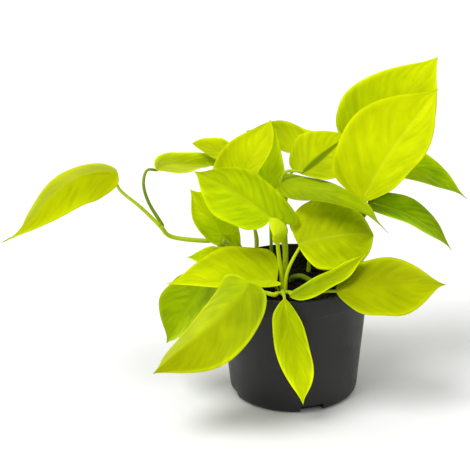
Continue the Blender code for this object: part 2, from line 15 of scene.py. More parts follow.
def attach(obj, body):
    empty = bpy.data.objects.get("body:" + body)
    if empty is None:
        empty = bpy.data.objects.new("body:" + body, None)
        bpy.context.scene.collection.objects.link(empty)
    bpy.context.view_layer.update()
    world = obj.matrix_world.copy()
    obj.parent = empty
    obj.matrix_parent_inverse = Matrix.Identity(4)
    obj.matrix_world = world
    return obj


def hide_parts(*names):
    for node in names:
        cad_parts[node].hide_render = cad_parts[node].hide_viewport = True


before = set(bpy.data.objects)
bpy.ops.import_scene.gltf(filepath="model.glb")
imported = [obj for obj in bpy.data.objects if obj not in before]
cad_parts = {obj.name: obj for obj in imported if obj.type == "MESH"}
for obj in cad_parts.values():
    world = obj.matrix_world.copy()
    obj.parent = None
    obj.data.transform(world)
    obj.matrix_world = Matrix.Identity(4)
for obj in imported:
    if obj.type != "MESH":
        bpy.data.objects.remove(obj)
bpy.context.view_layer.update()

# Units
MM = 0.001

# Camera: the photograph's view, in millimetres and degrees
CAMERA_DISTANCE = 1300.0
CAMERA_TARGET = (-40.78, 39.66, 103.32)
CAMERA_ELEVATION = 21.0
CAMERA_ROLL = 1.0
CAMERA_LENS = 136.4
CAMERA_SENSOR = 36.0
CAMERA_CLIP = (0.05, 50.0)

# Studio: lights in metres, degrees and watts, and the half breadth of the floor
SURROUNDINGS = 0.72
KEY_PLACE = (-0.55, -0.45, 1.35)
KEY_AIM = (0.0, 0.0, 0.12)
KEY_SOFTNESS = 30.0
KEY_STRENGTH = 1.9
SIDE_PLACE = (-1.3, -0.2, 0.6)
SIDE_AIM = (0.0, 0.0, 0.08)
SIDE_SIZE = 0.6
SIDE_POWER = 3.0
FLOOR_REACH = 6.0
FLOOR_HEIGHT = -0.0002

# Pot, in millimetres
POT_HEIGHT = 90.0
POT_RIM_RADIUS = 55.0
POT_BAND_LOW = 76.5
POT_NECK_RADIUS = 53.2
POT_FOOT_RADIUS = 45.8
POT_FOOT_HEIGHT = 5.0
POT_FLAT_RADIUS = 41.0
POT_FLOOR = 2.0
POT_WALL = 1.6
POT_SIDES = 160
BAND_ROUNDING = 0.8
RIM_ROUNDING = 0.75
NOTCH_COUNT = 4
NOTCH_TURN = -75.0
NOTCH_WIDTH = 17.0
NOTCH_HEIGHT = 5.5
NOTCH_DEPTH = 8.0
NOTCH_WALL = 1.5
BLOCK_INSET = 2.4
BLOCK_LOW = 1.0
CUT_OUTWARD = 8.0
CUT_BELOW = 5.0
SHARP_ANGLE = 35.0

# Potting soil, in millimetres, with the radii of its crumbs and how they are shaped
SOIL_TOP = 81.0
SOIL_BOTTOM = 9.0
SOIL_RINGS = 56
SOIL_SIDES = 128
SOIL_SWELL = (22.0, 0.7)
SOIL_LUMPS = (4.5, 0.9)
CRUMB_COUNT = 900
SMALL_CRUMBS = (0.5, 1.5)
LARGE_CRUMBS = (1.5, 2.6)
SMALL_SHARE = 0.8
CRUMB_SEED = 11
CRUMB_STRETCH = ((0.7, 1.5), (0.6, 1.1), (0.35, 0.8))
CRUMB_TILT = 0.6
CRUMB_LUMPS = (1.7, 0.45)
CRUMB_RISE = 0.15
SEAT_GAP = 0.3

# Blades, in millimetres, and how their points are spread
CURVE_STEPS = 24
BLADE_ROWS = 60
BLADE_COLUMNS = 16
ROW_SPREAD = 1.55
COLUMN_SPREAD = 1.25
BLADE_THICKNESS = 0.5
MARGIN_THICKNESS = 0.28
MARGIN_SMOOTHING = 10
CREASE_ROUNDING = 0.7
FLAT_CURL = 0.01
WAVE_HEIGHT = 0.8
WAVE_BEATS = 2.0
WAVE_START = 0.3
QUILT_HEIGHT = 0.02
QUILT_START = 4.0
VEIN_COUNT = 8.0
VEIN_SWEEP = 0.34
VEIN_BEND = 1.3

# Stems, stalks and the ribs that these become, in millimetres
STEM_STEPS = 100
STEM_SWELL = 0.08
SWELL_REACH = 0.03
STALK_POINTS = 90
STALK_SIDES = 14
STALK_RADIUS = 1.4
STALK_TIP_RADIUS = 1.0
STALK_REACH = 3.0
STUB_LENGTH = 2.5
ROOT_DEPTH = 7.0
ROOT_FLARE = 1.15
SIDE_SEAT = 0.75
FLARE_REACH = 3.0
SHEATH_POWER = 0.6
GROOVE_DEPTH = 0.2
GROOVE_WIDTH = 0.55
RIB_SHARES = (0.12, 0.97, 14)
RIB_RADIUS = 0.75
RIB_TIP_RADIUS = 0.2
RIB_CLEARANCE = 0.15
STEEPEST_DROOP = 1.1

# Colours of blades, and where a pale rib, or the painted shade along a creased rib, fades
GREEN = (0.150, 0.270, 0.0008)
YELLOW = (0.600, 0.690, 0.001)
PALE_RIB = (0.012, 0.05, (0.700, 0.760, 0.030))
RIB_CREASE_SHADE = (0.06, 0.16, (0.070, 0.150, 0.002))

# Markings of blades and their painted light and shade: scales in the noise's units,
# shares of tone or of brightness, and the shares out to the margin, or along the blade,
# between which something changes. The half, rim, margin and shade ranges and the
# margin tone place painted light, painted highlight and painted shade.
CLOUD_SCALE = 55.0
CLOUD_TONE = 0.4
PATCH_SCALE = 28.0
PATCH_LIGHT = 0.34
STREAK_COUNT = 15.0
STREAKS_ACROSS = 1.6
STREAK_STEP = 3.7
STREAK_TONE = 0.45
STREAK_LIGHT = 0.25
VEIN_WOBBLE = 0.05
RIPPLE_TONE = 0.03
MARGIN_HIGHLIGHT_TONE = 0.16
VEIN_RANGE = (0.04, 0.25)
HALF_LIGHT_RANGE = (-0.12, 0.12)
RIM_LIGHT_RANGE = (0.45, 0.95)
MARGIN_HIGHLIGHT_RANGE = (0.86, 0.97)
SHADE_RANGE = (0.02, 0.34)

# Gloss and relief
LEAF_GLOSS = 0.08
STALK_GLOSS = 0.12
FINE_RELIEF = 0.0003
SOIL_RELIEF = 0.0008

# Skins of stalks and stems: two colours and the roughness
SKINS = {
    "lime_stalk": ((0.38, 0.50, 0.012), (0.48, 0.60, 0.020), 0.42),
    "green_stalk": ((0.16, 0.26, 0.004), (0.26, 0.37, 0.006), 0.42),
    "green_stem": ((0.37, 0.49, 0.006), (0.52, 0.64, 0.010), 0.5),
    # a brighter copy of the stalk skin: painted light on stalks that catch the light
    "pale_stalk": ((0.52, 0.66, 0.006), (0.66, 0.78, 0.010), 0.42),
    "deep_stem": ((0.14, 0.23, 0.004), (0.24, 0.34, 0.006), 0.5),
    "lime_stem": ((0.36, 0.50, 0.012), (0.44, 0.56, 0.015), 0.45),
}

# Stems: route from the root upwards, the radius at both ends and the skin
STEMS = {
    "stem_centre": dict(
        route=[
            (-8, -9, 74), (-8, -9, 82), (-5.5, -4, 99), (-5.5, 0, 114), (-6, 6, 130.5),
            (-4, 12, 146),
        ],
        radius=(2.2, 1.7), skin="green_stem",
    ),
    "stem_front": dict(
        route=[(-8, -20, 74), (-8, -20, 83), (-8.5, -31, 87), (-8.5, -42, 91)],
        radius=(2.0, 1.8), skin="green_stem",
    ),
    "stem_left": dict(
        route=[
            (-20, 6, 74), (-20, 6, 83), (-37, 13, 99), (-51, 12, 111), (-62, 8, 111.5),
            (-85.5, 4, 116.5), (-93.5, 1, 126),
        ],
        radius=(2.0, 1.5), skin="lime_stem",
    ),
    "stem_right": dict(
        route=[
            (-1, 4, 74), (-1, 4, 83.5), (6, -2, 87), (18, -12, 86), (33, -9, 93),
            (42, 1, 110), (46, 7, 127), (50, 8, 135),
        ],
        radius=(1.9, 1.6), skin="deep_stem",
    ),
}

# Leaves. base and tip are the ends of the midrib, and face is the way that the upper
# face looks. A leaf has a left and a right half, seen from above with the tip ahead:
# share is their part of the half width, left and right are the angles of each against
# the flat at the base and at the tip, curl bends them, and edges holds what
# margin_points takes for each. bow and sway push the midrib towards the face and the
# right at a third and at two thirds of its length. stalk is the route up to the base,
# thick its radius at the foot, and skin its look if not lime_stalk. joint is the stem
# that it leaves and how far along; without one it roots in the soil. sheath is where
# it widens: the middle, the reach to both sides and how many times wider.
# look is, in this order: tone at the base and at the tip, 0 mid green to 1 yellow
# green; painted light and shade on the left and the right half; painted light added
# towards their margins; painted light gaining towards the tip; share of the pale rib,
# or of painted shade along its crease below 0; painted highlight on the very margin;
# painted shade at the base.
# Not all of this was chosen by hand. The first seven of look were fitted by comparing
# the render with the photograph, leaf by leaf and half by half. The shares, angles and
# edges of eleven leaves were fitted to margins traced on the photograph. Both were
# rounded, and some shapes were then changed.
LEAVES = {
    "leaf_far_left": dict(
        base=(-121.5, -5, 168.5), tip=(-204, -15, 121.5), width=42, face=(0.08, -0.23, 0.97),
        share=(1.0, 1.08), bow=(28, 1), sway=(8, -8), left=(-72, -32), right=(-24, -2),
        curl=(-5, 10), edges=((0.21, 0.03, 0.04, 0.05, 1.45), (0.22, 0.02, 0.12, 0.18, 0.6)),
        joint=("stem_left", 1.0), stalk=[(-107, 0, 141), (-120.5, -2, 154.5)],
        look=(1.0, 1.0, 0.69, 0.56, 0.14, 0.13, -0.08, 0.1, 0.12, 0.0),
    ),
    "leaf_upper_left": dict(
        base=(-94.5, 5, 166.5), tip=(-45, 48, 153.5), width=40, face=(0.21, -0.3, 0.84),
        share=(0.55, 1.1), bow=(-5, -7), sway=(-17, -13), left=(3, 32), right=(18, 39),
        edges=((0.6, 0.0, 0.3, 0.0, 0.55), (0.5, 0.0)), joint=("stem_left", 0.97),
        stalk=[(-100.8, 4, 142), (-104.2, 4, 156), (-101.5, 4, 166.4)], skin="green_stalk",
        look=(0.77, 0.5, 0.86, 0.97, 0.36, 0.01, 0.07, 0.0, 0.3, 0.0),
    ),
    "leaf_back_left": dict(
        base=(-32.5, 58, 156.5), tip=(-70.5, 50, 171), width=21, face=(0, -0.5, 0.87),
        edges=((0.5, 0.05, 0.0, 0.0, 0.9), (0.5, 0.05, 0.0, 0.0, 0.9)),
        stalk=[(-27, 30, 81), (-25.5, 33, 101.5), (-29.5, 50, 126.5)], skin="green_stalk",
        look=(0.82, 0.82, 0.85, 0.9, 0.01, 0.2, 0.0, 0.1, 0.12, 0.0),
    ),
    "leaf_top_left": dict(
        base=(-43, 10, 146), tip=(-14, 24, 196), width=47, face=(0, -0.85, 0.5), share=(0.9, 0.52),
        left=(0, 0), right=(30, 18), edges=((0.33,), (0.6, 0.07, 0.23, 0.02, 0.8)),
        stalk=[(-29, 19, 81), (-25, 17, 108), (-31.5, 12, 129)],
        look=(0.66, 1.0, 0.99, 0.85, -0.21, 0.0, -0.04, 0.1, 0.12, 0.0),
    ),
    "leaf_top_mid": dict(
        base=(7, 20, 156.5), tip=(44, 40, 180.5), width=40, face=(-0.2, -0.75, 0.6),
        share=(1.17, 1.2), left=(-5, 26), right=(26, 0),
        edges=((0.3, 0.1, 0.2, 0.06, 1.15), (0.3, 0.0, 0.2)), joint=("stem_centre", 0.87),
        stalk=[(-9, 16, 148), (-4, 19, 158.5)],
        look=(0.68, 1.0, 0.92, 0.81, 0.0, 0.16, 0.07, -0.75, 0.05, 0.0),
    ),
    "leaf_top_back": dict(
        base=(25.5, 52, 158.5), tip=(-31.5, 52, 179), width=34, face=(0.08, -0.52, 0.73),
        share=(0.3, 1.3), bow=(-7, 4), sway=(-2, -5), left=(18, 16), right=(8, -2),
        edges=((0.4, 0.0, 0.04, 0.06, 1.38), (0.56, 0.0, 0.0, 0.03, 0.91)),
        joint=("stem_centre", 0.62), stalk=[(-5, 34, 128), (0, 50, 145), (12, 54, 157)],
        look=(0.87, 0.6, 0.89, 0.96, 0.08, -0.14, -0.24, 0.1, 0.12, 0.0),
    ),
    "leaf_mid_back": dict(
        base=(-19.5, 30, 132), tip=(-11, 40, 184.5), width=30, face=(0, -0.9, 0.4),
        share=(1.0, 0.99), right=(15, 37), edges=((), (0.15, 0.05, 0.0, 0.0, 1.13)),
        stalk=[(-15, 10, 81), (-15, 14, 109), (-15.5, 24, 120.5)], skin="green_stalk",
        look=(0.37, 0.55, 1.48, 1.21, 0.27, 0.45, -0.3, 0.1, 0.0, 0.0),
    ),
    "leaf_centre_left": dict(
        base=(-15.5, -14, 136), tip=(-68, -26, 175.5), width=50, face=(-0.1, -0.8, 0.6),
        share=(0.86, 0.79), sway=(3, 3), left=(-10, -10), right=(15, -25),
        edges=((0.5, 0.04, 0.2, 0.04, 0.9), (0.4, 0.31)), thick=1.8,
        stalk=[(-7.5, -14, 81), (-9.5, -12, 100), (-11, -13.5, 117), (-9.5, -16, 127)],
        sheath=((-9.5, -15.5, 127), 10.8, 5.2), skin="pale_stalk",
        look=(0.31, 0.49, 1.53, 1.19, 0.12, -0.17, -0.16, 0.1, 0.12, 0.1),
    ),
    "leaf_mid_left": dict(
        base=(-50, -3, 120.5), tip=(-71.5, -8, 156.5), width=36, face=(-0.2, -0.7, 0.7),
        share=(0.68, 1.0), edges=((0.4, 0.12), (0.4, 0.12)), joint=("stem_left", 0.5),
        stalk=[(-51, 0, 112.5)], look=(0.33, 0.7, 1.34, 1.16, -0.33, 0.09, 0.03, 0.1, 0.12, 0.0),
    ),
    "leaf_inner_left": dict(
        base=(-50, 28, 124), tip=(-37.5, 24, 88.5), width=26, face=(0, -0.9, 0.4), share=(0.6, 1.0),
        joint=("stem_left", 0.25), stalk=[(-37.5, 26, 100.5), (-45.5, 30, 117)],
        skin="green_stalk", look=(0.69, 0.24, 1.29, 1.07, 0.15, 0.13, 0.0, 0.1, 0.12, 0.0),
    ),
    "leaf_small_left": dict(
        base=(-44, 3, 100), tip=(-75.5, -3, 103.5), width=17, face=(0, -0.7, 0.7),
        joint=("stem_left", 0.28), stalk=[],
        look=(0.71, 0.46, 1.39, 1.29, 0.14, 0.06, 0.0, 0.1, 0.12, 0.0),
    ),
    "leaf_over_rim_left": dict(
        base=(-12, -22, 92), tip=(-89.5, -32, 95.5), width=60, face=(0, 0, 1), share=(0.4, 1.0),
        left=(4, 8), right=(38, 38), edges=((0.33, 0.03), (0.33, 0.03)), stalk=[(-11, -16, 81)],
        look=(0.68, 0.88, 1.11, 0.94, 0.09, -0.15, 0.07, 0.1, 0.12, 0.0),
    ),
    "leaf_hanging_left": dict(
        base=(-62, -4, 88), tip=(-91, -18, 44), width=48, face=(-0.4, -0.85, 0.3),
        share=(1.08, 0.95), left=(36, 56), right=(0, 0),
        edges=((0.5, 0.04, 0.05, 0.03, 0.69), (0.5, 0.0, 0.2)), joint=("stem_left", 0.17),
        stalk=[(-40, 2, 92), (-54, -2, 93)],
        look=(0.2, 0.24, 0.97, 0.92, 0.34, -0.14, -0.05, 0.0, 0.0, 0.0),
    ),
    "leaf_front_left": dict(
        base=(-31.5, -61.7, 107.1), tip=(-97.6, -88.3, 53.5), width=60, face=(-0.29, -0.6, 0.68),
        share=(1.07, 1.1), bow=(-2, -8), sway=(-8, 6), left=(13, -35), right=(-14, -45),
        curl=(16, -20), edges=((0.3, 0.04, 0.12, 0.02, 0.92), (0.21, 0.02, 0.0, 0.07, 0.6)),
        joint=("stem_front", 0.92), thick=1.8, stalk=[(-15, -50, 93.5), (-27.5, -58.5, 101)],
        skin="pale_stalk", look=(0.44, 1.0, 0.6, 0.78, 0.0, 0.0, -0.15, 0.1, 0.22, 0.0),
    ),
    "leaf_front_hanging": dict(
        base=(-8, -60, 94.5), tip=(4.5, -64, 16), width=34, face=(0, -0.95, 0.3), share=(0.84, 0.9),
        left=(35, 35), right=(35, 35), edges=((0.6, 0.0, 0.32, 0.03), (0.36, 0.0, 0.13, 0.03)),
        joint=("stem_front", 1.0), stalk=[(-8, -54, 94)],
        look=(0.53, 0.87, 1.07, 1.1, -0.06, 0.31, 0.06, 0.2, 0.3, 0.0),
    ),
    "leaf_front_folded": dict(
        base=(-4, -53, 93), tip=(49.5, -42, 120.5), width=28, face=(0, 0, 1), share=(1.0, 0.72),
        bow=(-4, -4), left=(-5, -5), right=(-15, -15), edges=((0.55, 0.0, 0.12), (0.55, 0.0, 0.12)),
        joint=("stem_front", 0.85), stalk=[(-3.5, -44, 91.5)],
        look=(0.32, 0.65, 0.68, 0.72, 0.4, 0.27, -0.09, 0.1, 0.3, 0.0),
    ),
    "leaf_front_right": dict(
        base=(27, -54, 97), tip=(105, -38, 93.5), width=49, face=(0, -0.7, 0.71), share=(1.0, 0.94),
        bow=(9, 9), left=(-15, -15), right=(-15, -15), edges=((0.5, 0.0, 0.25), (0.5, 0.0, 0.25)),
        joint=("stem_front", 0.59), stalk=[(8, -40, 89), (20, -47, 94)],
        look=(0.8, 0.99, 0.55, 0.64, 0.11, 0.13, 0.08, 0.1, 0.15, 0.12),
    ),
    "leaf_centre_right": dict(
        base=(3, -14, 116.5), tip=(56, -14, 122), width=58, face=(0.1, -0.72, 0.69),
        share=(1.07, 0.88), bow=(6, 12), left=(10, -8), right=(-5, -5), curl=(-20, -20),
        edges=((0.2, 0.07, 0.04, 0.0, 0.38), (0.55, 0.0, 0.25, 0.0, 0.5)),
        stalk=[(-6.5, -19, 81), (-4.0, -17, 98)], skin="pale_stalk",
        look=(0.69, 0.45, 0.75, 0.82, 0.45, 0.41, -0.01, 0.3, 0.15, 0.0),
    ),
    "leaf_mid_narrow": dict(
        base=(-7.5, 18, 152), tip=(64.5, -32, 130.5), width=36, face=(0, -0.1, 1),
        share=(0.8, 0.92), bow=(7, 15), left=(10, -12), right=(-23, 30),
        edges=((0.62, 0.06, 0.0, 0.1, 1.1), (0.3, 0.03, 0.1, 0.16, 1.3)),
        joint=("stem_centre", 1.0), stalk=[],
        look=(0.33, 0.25, 1.03, 0.94, 0.05, -0.17, 0.01, 0.1, 0.05, 0.0),
    ),
    "leaf_large_right": dict(
        base=(49, 2, 141), tip=(104.5, 36, 213), width=76, face=(0.1, -0.85, 0.5),
        share=(0.97, 0.82), sway=(-5, -3), left=(5, 5), right=(55, 42),
        edges=((0.42, 0.0, 0.12, 0.03), (0.46, 0.0, 0.24, 0.03)), joint=("stem_right", 1.0),
        stalk=[], look=(0.8, 1.0, 0.99, 0.91, -0.13, -0.08, -0.01, 0.2, 0.1, 0.15),
    ),
    "leaf_tall_back": dict(
        base=(49, 44, 164), tip=(106, 54, 231), width=70, face=(0, -0.85, 0.5), share=(1.0, 1.05),
        edges=((0.26, 0.04, 0.12, 0.02), (0.3, 0.06, 0.0, 0.02)), joint=("stem_right", 0.96),
        stalk=[(47.5, 22, 143), (48, 40, 155.5)],
        look=(0.48, 1.0, 1.1, 0.93, -0.09, 0.09, -0.06, 0.1, 0.12, 0.1),
    ),
    "leaf_right_back": dict(
        base=(64.5, 25, 164.5), tip=(124.5, 14, 137.5), width=28, face=(0, -0.5, 0.85),
        bow=(10, 10), edges=((0.35, 0.05, 0.0, 0.08), (0.25, 0.05, 0.0, 0.08)),
        joint=("stem_right", 0.81), stalk=[(54.5, 22, 142), (61.5, 24, 159)],
        look=(0.27, 0.1, 1.67, 1.53, 0.4, -0.18, -0.3, 0.1, 0.0, 0.0),
    ),
    "leaf_right_low": dict(
        base=(54, 16, 135), tip=(113.5, 6, 102), width=30, face=(0, -0.35, 0.94), share=(1.0, 0.72),
        bow=(12, 12), edges=((0.42, 0.02), (0.42, 0.02)), joint=("stem_right", 0.9), stalk=[],
        skin="green_stalk", look=(0.05, 0.15, 1.43, 1.6, -0.2, 0.29, -0.29, 0.3, 0.05, 0.55),
    ),
    "leaf_rear_right": dict(
        base=(18, 46, 116), tip=(26, 86, 66), width=44, face=(0.1, 0.75, 0.65), bow=(10, 6),
        left=(-8, -8), right=(-8, -8),
        stalk=[(12, 22, 81), (14, 30, 104), (16, 40, 115)],
        look=(0.6, 0.6, 0.9, 0.9, 0.08, 0.08, 0.0, 0.1, 0.12, 0.0),
    ),
    "leaf_rear_left": dict(
        base=(-13, 37, 116), tip=(-20, 88, 94), width=32, face=(-0.1, 0.2, 1), share=(0.75, 1.0),
        bow=(8, 8), left=(12, 12), right=(12, 12), joint=("stem_centre", 0.5),
        stalk=[(-10, 20, 122)], look=(0.6, 0.6, 0.9, 0.9, 0.08, 0.08, 0.0, 0.1, 0.12, 0.0),
    ),
}


def unit(vector):
    """The vector at length one."""
    vector = np.asarray(vector, float)
    return vector / np.linalg.norm(vector)


def curve_through(points, count):
    """Evenly spaced points along a smooth curve through the given points."""
    given = np.array(points, float)
    given = np.vstack([2 * given[0] - given[1], given, 2 * given[-1] - given[-2]])
    steps = np.linspace(0.0, 1.0, CURVE_STEPS, endpoint=False)
    traced = []
    for i in range(1, len(given) - 2):
        before, here, there, after = given[i - 1:i + 3]
        for t in steps:
            bend = (2 * before - 5 * here + 4 * there - after) * t * t
            turn = (3 * here - before - 3 * there + after) * t ** 3
            traced.append(0.5 * (2 * here + (there - before) * t + bend + turn))
    traced.append(given[-2])
    traced = np.array(traced)
    lengths = np.linalg.norm(np.diff(traced, axis=0), axis=1)
    run = np.concatenate([[0.0], np.cumsum(lengths)])
    wanted = np.linspace(0.0, run[-1], count)
    columns = [np.interp(wanted, run, traced[:, axis]) for axis in range(traced.shape[1])]
    return np.stack(columns, axis=1)


def margin_points(widest=0.36, lobe=0.08, slant=0.0, drip=0.05, power=1.2):
    """Points (along, half width) of one half of a margin, for a blade of length and width one.

    widest: where the half is widest; lobe: how far it reaches behind the stalk;
    slant: how far its shoulder moves towards the tip; drip: length of the thin
    tip; power: a high value gives a pointed blade and a low one a blunt blade.
    """
    shoulder = [
        (0.0, 0.0), (-0.45 * lobe, 0.07), (-0.9 * lobe, 0.16), (-lobe, 0.25),
        (-0.7 * lobe, 0.34), (0.03 * widest, 0.415), (0.35 * widest, 0.465),
    ]
    points = [(along + slant * (2 * half) ** 1.5, half) for along, half in shoulder]
    end = 1.0 - drip
    for share in (0.0, 0.22, 0.42, 0.6, 0.76, 0.9):
        points.append((widest + share * (end - widest), 0.5 * (1 - share * share) ** power))
    return points + [(end, 0.012), (1.0, 0.0)]


def margin_line(values):
    """Evenly spaced points along one half of a margin, with its corners smoothed."""
    line = curve_through(margin_points(*values), BLADE_ROWS + 1)
    for _ in range(MARGIN_SMOOTHING):
        line[1:-1] = 0.25 * line[:-2] + 0.5 * line[1:-1] + 0.25 * line[2:]
    return line


def midrib(leaf):
    """A function that gives the point and the direction of the midrib at a share of its length."""
    base = np.array(leaf["base"], float)
    tip = np.array(leaf["tip"], float)
    span = tip - base
    ahead = unit(span)
    face = unit(np.array(leaf["face"], float) - np.dot(leaf["face"], ahead) * ahead)
    side = np.cross(ahead, face)
    bow = leaf.get("bow", (0, 0))
    sway = leaf.get("sway", (0, 0))
    first = base + span * 0.33 + face * bow[0] + side * sway[0]
    second = tip - span * 0.33 + face * bow[1] + side * sway[1]

    def at(share):
        held = min(max(share, 0.0), 1.0)
        rest = 1.0 - held
        point = rest ** 3 * base + 3 * held * rest ** 2 * first
        point = point + 3 * held ** 2 * rest * second + held ** 3 * tip
        slope = 3 * rest ** 2 * (first - base) + 6 * held * rest * (second - first)
        slope = slope + 3 * held ** 2 * (tip - second)
        return point + slope * (share - held), unit(slope)

    return at, face


def lift_at(leaf, hand, share):
    """Angle of one half against the flat, at a share of the blade's length, in radians."""
    start, end = leaf.get(("left", "right")[hand], (10, 10))
    return math.radians(start + (end - start) * share)


def blade_surface(leaf):
    """Points, shares along and shares out of the blade's upper face, row by row."""
    at, face = midrib(leaf)
    half = leaf["width"] / 2
    curl = leaf.get("curl", (0, 0))
    shares = leaf.get("share", (1.0, 1.0))
    edges = [margin_line(values) for values in leaf.get("edges", ((), ()))]
    wide = 2 * BLADE_COLUMNS + 1
    points = np.zeros((BLADE_ROWS + 1, wide, 3))
    along_of = np.zeros((BLADE_ROWS + 1, wide))
    out_of = np.zeros((BLADE_ROWS + 1, wide))
    for row in range(BLADE_ROWS + 1):
        mid_along = (row / BLADE_ROWS) ** ROW_SPREAD
        for column in range(-BLADE_COLUMNS, BLADE_COLUMNS + 1):
            hand = 0 if column < 0 else 1
            sign = -1 if column < 0 else 1
            edge_along, edge_half = edges[hand][row]
            out = abs(column) / BLADE_COLUMNS
            along = mid_along + (edge_along - mid_along) * out ** COLUMN_SPREAD
            held = min(max(along, 0.0), 1.0)
            point, ahead = at(along)
            up = unit(face - np.dot(face, ahead) * ahead)
            across = np.cross(ahead, up)
            reach = half * shares[hand]
            breadth = edge_half * 2 * reach * out
            lift = lift_at(leaf, hand, held)
            bend = math.radians(curl[hand]) if curl[hand] else FLAT_CURL
            turned_by = lift + bend * breadth / reach
            sideways = reach / bend * (math.sin(turned_by) - math.sin(lift))
            upwards = reach / bend * (math.cos(lift) - math.cos(turned_by))
            upwards *= breadth / (breadth + CREASE_ROUNDING) if breadth > 0 else 0.0
            beat = WAVE_BEATS * along + WAVE_START + (0.25 if column < 0 else 0.0)
            upwards += WAVE_HEIGHT * math.sin(2 * math.pi * beat) * (breadth / reach) ** 2
            vein = VEIN_COUNT * (along - VEIN_SWEEP * out ** VEIN_BEND)
            vein += 0.5 if column < 0 else 0.0
            inner = min(breadth / QUILT_START, 1.0) * max(1.0 - out ** 6, 0.0)
            upwards += QUILT_HEIGHT * math.cos(2 * math.pi * vein) * inner
            points[row, column + BLADE_COLUMNS] = point + across * sign * sideways + up * upwards
            along_of[row, column + BLADE_COLUMNS] = held
            out_of[row, column + BLADE_COLUMNS] = sign * out
    return points, along_of, out_of


def surface_normals(points, face):
    """Normals of a grid of points, on the side that the face looks to."""
    down = np.gradient(points, axis=0)
    right = np.gradient(points, axis=1)
    normals = np.cross(down, right)
    for row, source in ((0, 1), (-1, -2)):
        normals[row] = normals[source]
    lengths = np.linalg.norm(normals, axis=2, keepdims=True)
    normals = normals / np.maximum(lengths, 1e-9)
    if (normals * face).sum() < 0:
        normals = -normals
    return normals


def tube(middle, radii, first_out, groove=0.0, spread=None):
    """Points and faces of a bar along the middle line, with a groove on its first side.

    spread: how many times wider than deep the bar is at each point.
    """
    ahead = np.gradient(middle, axis=0)
    out = np.array(first_out, float)
    points = []
    for i in range(len(middle)):
        way = unit(ahead[i])
        out = unit(out - np.dot(out, way) * way)
        across = np.cross(way, out)
        for side in range(STALK_SIDES):
            angle = 2 * math.pi * side / STALK_SIDES
            turn = min(angle, 2 * math.pi - angle)
            radius = radii[i] * (1 - groove * math.exp(-(turn / GROOVE_WIDTH) ** 2))
            wide = math.sin(angle) * (1.0 if spread is None else spread[i])
            points.append(middle[i] + radius * (math.cos(angle) * out + wide * across))
    faces = [list(range(STALK_SIDES))[::-1]]
    for i in range(len(middle) - 1):
        for side in range(STALK_SIDES):
            a = i * STALK_SIDES + side
            b = i * STALK_SIDES + (side + 1) % STALK_SIDES
            faces.append([a, b, b + STALK_SIDES, a + STALK_SIDES])
    faces.append([(len(middle) - 1) * STALK_SIDES + side for side in range(STALK_SIDES)])
    return points, faces


def stem_radius(stem, share):
    """Radius of a stem at a share of its length."""
    foot, end = stem["radius"]
    return foot + (end - foot) * share


def stem_place(name, share):
    """Point, direction and radius of a stem at a share of its length."""
    stem = STEMS[name]
    line = curve_through(stem["route"], STEM_STEPS + 1)
    index = int(round(share * STEM_STEPS))
    way = unit(line[min(index + 1, STEM_STEPS)] - line[max(index - 1, 0)])
    return line[index], way, stem_radius(stem, share)


def droop_at(leaf, share):
    """How steeply the lower half of a blade falls from the midrib, in radians."""
    fall = -min(lift_at(leaf, 0, share), lift_at(leaf, 1, share))
    return min(max(0.0, fall), STEEPEST_DROOP)


def under_blade(leaf, share, radius, ahead_by=0.0):
    """Middle of a rib of this radius that just clears the blade above it."""
    at, face = midrib(leaf)
    point, ahead = at(share)
    up = unit(face - np.dot(face, ahead) * ahead)
    depth = RIB_CLEARANCE + radius / math.cos(droop_at(leaf, share))
    return point + ahead * ahead_by - up * depth


def stalk_route(leaf):
    """Points that a stalk's middle line passes, from its root or its stem to under the blade."""
    end = under_blade(leaf, 0.0, STALK_TIP_RADIUS, STALK_REACH)
    passed = [np.array(point, float) for point in leaf["stalk"]]
    if "joint" not in leaf:
        x, y, height = passed[0]
        return [np.array([x, y, height - ROOT_DEPTH])] + passed + [end]
    name, share = leaf["joint"]
    place, way, radius = stem_place(name, share)
    if share >= 1.0:
        return [place - way, place + way * (SEAT_GAP + STUB_LENGTH)] + passed + [end]
    out = (passed[0] if passed else end) - place
    out = unit(out - np.dot(out, way) * way)
    return [place + out * (radius - 1.0), place + out * (radius + STUB_LENGTH)] + passed + [end]


def rib_points(leaf):
    """Middle line of the rib under the blade, from the stalk's end to near the tip."""
    points = []
    for share in np.linspace(*RIB_SHARES):
        radius = RIB_TIP_RADIUS + (RIB_RADIUS - RIB_TIP_RADIUS) * (1 - share) ** 1.3
        points.append(under_blade(leaf, share, radius))
    return points


def joined_mesh(name, parts):
    """One mesh of several shells, each given as points, faces and material number."""
    points = []
    faces = []
    numbers = []
    for shell_points, shell_faces, number in parts:
        start = len(points)
        points.extend((np.asarray(shell_points, float) * MM).tolist())
        faces.extend([[start + int(corner) for corner in face] for face in shell_faces])
        numbers.extend([number] * len(shell_faces))
    mesh = bpy.data.meshes.new(name)
    mesh.from_pydata(points, [], faces)
    mesh.polygons.foreach_set("material_index", numbers)
    mesh.shade_smooth()
    return mesh


def placed(name, data):
    """A new object in the scene."""
    made = bpy.data.objects.new(name, data)
    bpy.context.scene.collection.objects.link(made)
    return made


